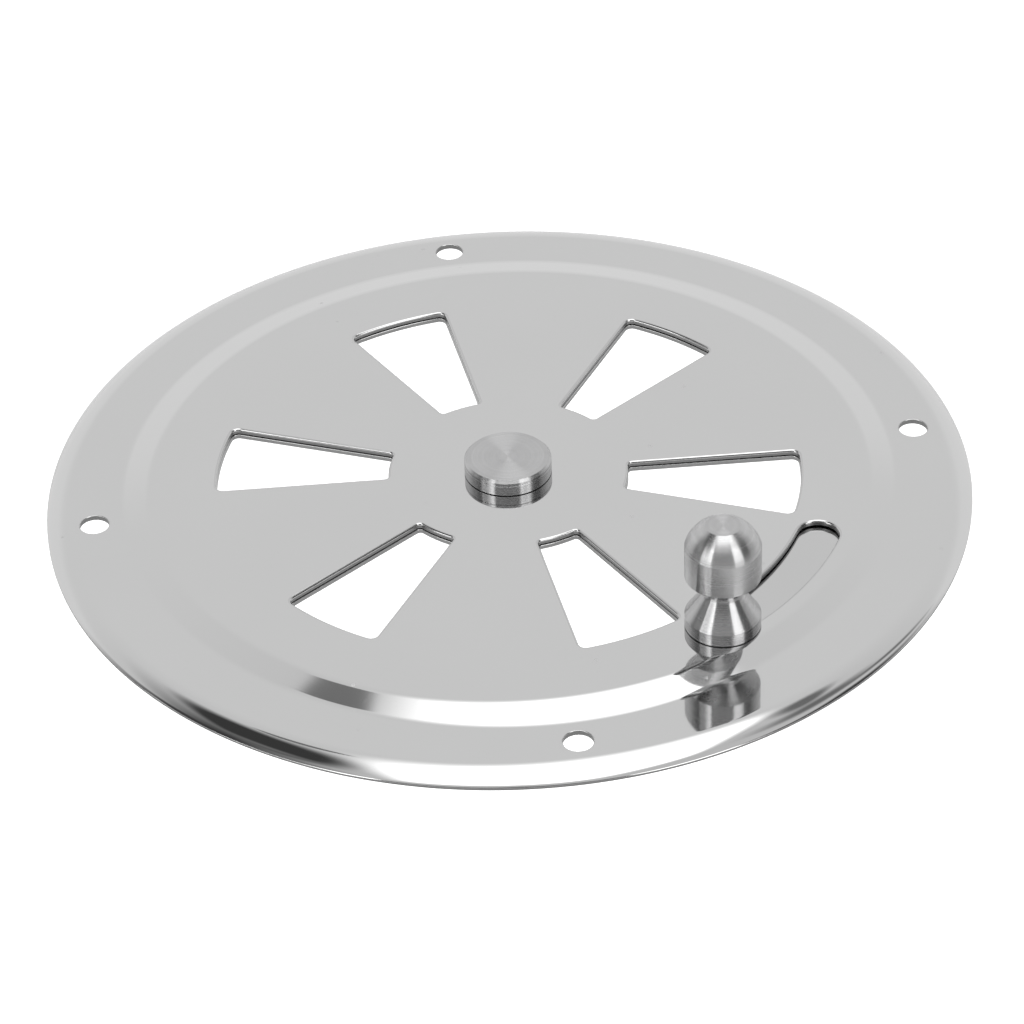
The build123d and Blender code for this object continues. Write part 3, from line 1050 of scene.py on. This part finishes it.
class VENT_OT_knob(Operator):
    """Turned knob that stands in the slot"""

    bl_idname = "vent.knob"
    bl_label = "Knob"

    def execute(self, context):
        finish, turned = context.scene.vent_finish, context.scene.vent_turned
        start = KNOB_LOW.z + turned.thread_shown
        thread = (turned.knob_shank, turned.knob_pitch, start, KNOB_LOW.z, turned.knob_end)
        material = turned_steel("knob_turning", finish, KNOB_AXIS)
        outline = self.outline(turned, start)
        knob = threaded("knob_turned", outline, thread, KNOB_AXIS, turned.segments, material)
        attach(knob, "shutter")
        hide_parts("knob")
        return {"FINISHED"}

    @staticmethod
    def outline(turned, thread_start):
        """Section of the knob, from the flat on top of its dome down to its thread."""
        dome_start = Vector((turned.head, FACE_TOP + turned.dome_height))
        centre = Vector((0, dome_start.y - sqrt(turned.dome ** 2 - turned.head ** 2)))
        rise = sqrt(turned.dome ** 2 - turned.facing ** 2)
        dome_end = Vector((turned.facing, centre.y + rise))
        foot = FACE_TOP + turned.foot_gap
        below = [
            dome_start,
            (turned.head, FACE_TOP + turned.head_height, turned.edge),
            (turned.waist, FACE_TOP + turned.waist_height, turned.waist_bend),
            (turned.foot, foot + turned.foot_height, turned.edge),
            (turned.foot, foot),
            (turned.shoulder, foot),
            (turned.shoulder, DISC_TOP),
            (turned.knob_shank, DISC_TOP),
            (turned.knob_shank, thread_start),
        ]
        top = straight(Vector((0, dome_end.y)), dome_end)
        return top + arc(dome_end, dome_start, centre, DOME_STEPS) + section(below)


class VENT_OT_fasteners(Operator):
    """Nuts and washers behind the disc"""

    bl_idname = "vent.fasteners"
    bl_label = "Nuts and washers"

    def execute(self, context):
        finish = context.scene.vent_finish
        steel = grained("fastener_steel", finish.fastener_colour, TUMBLED, Metallic=1.0)
        nylon = grained("nylon", finish.nylon_colour, WAXY, **WAX_GLOW)
        for node in STEEL_NODES:
            dress(node, steel)
        for node in NYLON_NODES:
            dress(node, nylon)
        return {"FINISHED"}


class VENT_PT_panel(Panel):
    """Operators and settings"""

    bl_idname = "VENT_PT_panel"
    bl_label = "Vent cover"
    bl_space_type = "VIEW_3D"
    bl_region_type = "UI"
    bl_category = "Vent cover"

    def draw(self, context):
        for operator in OPERATORS:
            self.layout.operator(operator.bl_idname)
        for name in GROUPS:
            settings = getattr(context.scene, name)
            box = self.layout.box()
            for prop in settings.bl_rna.properties:
                if prop.identifier not in {"rna_type", "name"}:
                    box.prop(settings, prop.identifier)


OPERATORS = (VENT_OT_studio, VENT_OT_plate, VENT_OT_disc, VENT_OT_stud, VENT_OT_knob, VENT_OT_fasteners)
GROUPS = dict(vent_studio=VentStudio, vent_finish=VentFinish, vent_sheet=VentSheet, vent_turned=VentTurned)


def register():
    for cls in (*GROUPS.values(), *OPERATORS, VENT_PT_panel):
        bpy.utils.register_class(cls)
    for name, group in GROUPS.items():
        setattr(bpy.types.Scene, name, PointerProperty(type=group))


def unregister():
    for name in GROUPS:
        delattr(bpy.types.Scene, name)
    for cls in (VENT_PT_panel, *reversed(OPERATORS), *reversed(list(GROUPS.values()))):
        bpy.utils.unregister_class(cls)


def main():
    """Makes the studio and every piece."""
    register()
    for operator in OPERATORS:
        group, name = operator.bl_idname.split(".")
        getattr(getattr(bpy.ops, group), name)()


if __name__ == "__main__":
    main()
